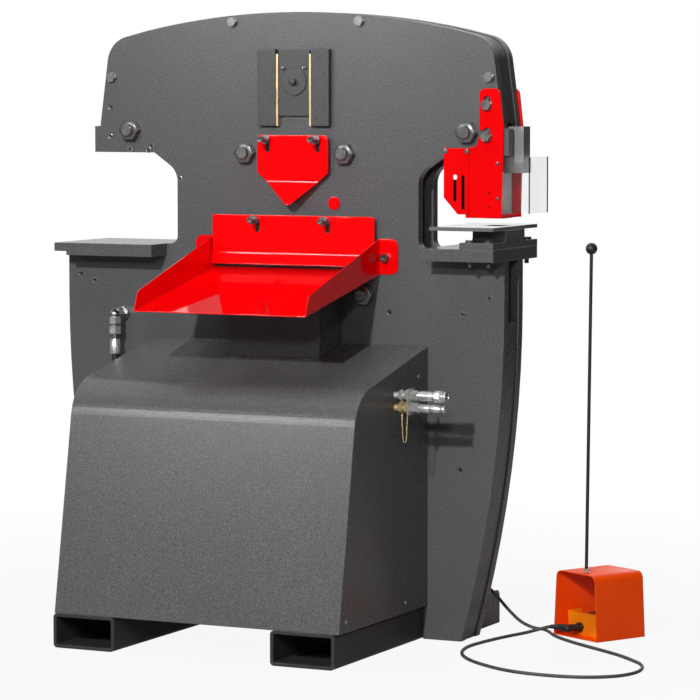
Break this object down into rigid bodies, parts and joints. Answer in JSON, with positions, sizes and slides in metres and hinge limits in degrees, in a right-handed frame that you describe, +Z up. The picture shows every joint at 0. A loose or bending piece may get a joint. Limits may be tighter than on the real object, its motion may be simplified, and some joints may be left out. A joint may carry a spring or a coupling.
{
  "type": "hydraulic ironworker",
  "caption": "Twin-plate hydraulic ironworker with a guided ram, bar and angle shears, punch table, notcher, red guards, covered power unit, fork pockets and a corded foot pedal.",
  "frame": {"origin": "on the floor, under the middle of the slide, midway between the frame plates", "axes": "+X along the frame from the punch table to the notcher, +Y from the power unit to the back, +Z up"},
  "size_m": [2.0031, 1.0239, 1.866],
  "materials": {
    "frame_paint": "fine speckled dark grey hammer-finish coat",
    "guard_red": "glossy red coat",
    "tube_black": "black coat",
    "bright_steel": "zinc plated",
    "dark_steel": "dark tool steel",
    "brass": "machined",
    "clear_shield": "clear sheet",
    "tank_paint": "satin",
    "pump_metal": "cast",
    "hose_rubber": "matt black",
    "box_paint": "satin",
    "button_green": "moulded",
    "button_red": "moulded",
    "black_plastic": "moulded",
    "hood_orange": "orange coat",
    "base_orange": "bright orange coat",
    "treadle_black": "black coat"
  },
  "bodies": {
    "frame": {"front_plate": "frame_paint", "rear_plate": "frame_paint", "frame_webs": "frame_paint", "head_strip": "frame_paint", "head_tie_bolts": "bright_steel", "guide_bolts": "bright_steel", "guide_nuts": "bright_steel", "gibs": "frame_paint", "gib_liners": "brass", "fixed_blades": "dark_steel", "cylinder_barrel": "dark_steel", "front_housing": "frame_paint", "rear_housing": "frame_paint", "guard_bolts": "bright_steel", "face_plug": "guard_red", "tray": "guard_red", "tray_bolts": "bright_steel", "punch_table": "frame_paint", "notch_support": "frame_paint", "notch_die": "frame_paint", "notch_table": "frame_paint", "notch_bolts": "bright_steel", "power_cover_wrap": "frame_paint", "power_cover_sides": "frame_paint", "power_base": "frame_paint", "fork_tubes": "tube_black", "tank": "tank_paint", "motor": "tank_paint", "pump_unit": "pump_metal", "hoses": "hose_rubber", "left_elbow": "bright_steel", "coupler_bodies": "bright_steel", "coupler_brass": "brass", "rear_feet": "frame_paint", "control_box": "box_paint", "cord_gland": "black_plastic", "pedal_cord": "hose_rubber", "pedal_hood": "hood_orange", "pedal_base": "base_orange", "pedal_pin": "bright_steel", "pedal_spring": "bright_steel", "pedal_connector": "black_plastic", "pedal_handle": "black_plastic", "shear_table": "frame_paint"},
    "ram": {"ram": "dark_steel", "slide_blocks": "frame_paint", "slide_pin": "frame_paint", "notch_punch": "dark_steel", "ram_blades": "dark_steel", "cylinder_rod": "bright_steel"},
    "v_guard": {"v_guard": "guard_red"},
    "drop_guard": {"drop_guard": "guard_red"},
    "notch_guard": {"notch_guard_front": "guard_red", "notch_guard_wing": "guard_red", "notch_guard_rear": "guard_red", "notch_shield": "clear_shield"},
    "coupler_sleeve": {"coupler_sleeve": "bright_steel"},
    "start_button": {"start_button": "button_green"},
    "stop_button": {"stop_button": "button_red"},
    "treadle": {"pedal_treadle": "treadle_black"}
  },
  "joints": [
    {"name": "ram_stroke", "type": "slide", "parent": "frame", "child": "ram", "axis": [0, 0, -1], "range_m": [0, 0.044]},
    {"name": "v_guard_lift", "type": "slide", "parent": "frame", "child": "v_guard", "axis": [0, 0, 1], "range_m": [0, 0.032]},
    {"name": "drop_guard_lift", "type": "slide", "parent": "frame", "child": "drop_guard", "axis": [0, 0, 1], "range_m": [0, 0.032]},
    {"name": "notch_guard_adjust", "type": "slide", "parent": "frame", "child": "notch_guard", "axis": [0, 0, -1], "range_m": [0, 0.016]},
    {"name": "coupler_sleeve_slide", "type": "slide", "parent": "frame", "child": "coupler_sleeve", "axis": [-1, 0, 0], "range_m": [0, 0.006], "stiffness_N_per_m": 800, "springref_m": -0.003},
    {"name": "start_press", "type": "slide", "parent": "frame", "child": "start_button", "axis": [0, -1, 0], "range_m": [0, 0.004], "stiffness_N_per_m": 500, "springref_m": -0.002},
    {"name": "stop_press", "type": "slide", "parent": "frame", "child": "stop_button", "axis": [0, -1, 0], "range_m": [0, 0.004], "stiffness_N_per_m": 700, "springref_m": -0.002},
    {"name": "pedal_press", "type": "hinge", "parent": "frame", "child": "treadle", "pos_m": [0.86404, 0.19939, 0.056], "axis": [-0.8829, 0.4695, 0], "range_deg": [0, 10], "stiffness_Nm_per_rad": 6, "springref_deg": -11.46, "deforming": ["pedal_spring"]}
  ]
}
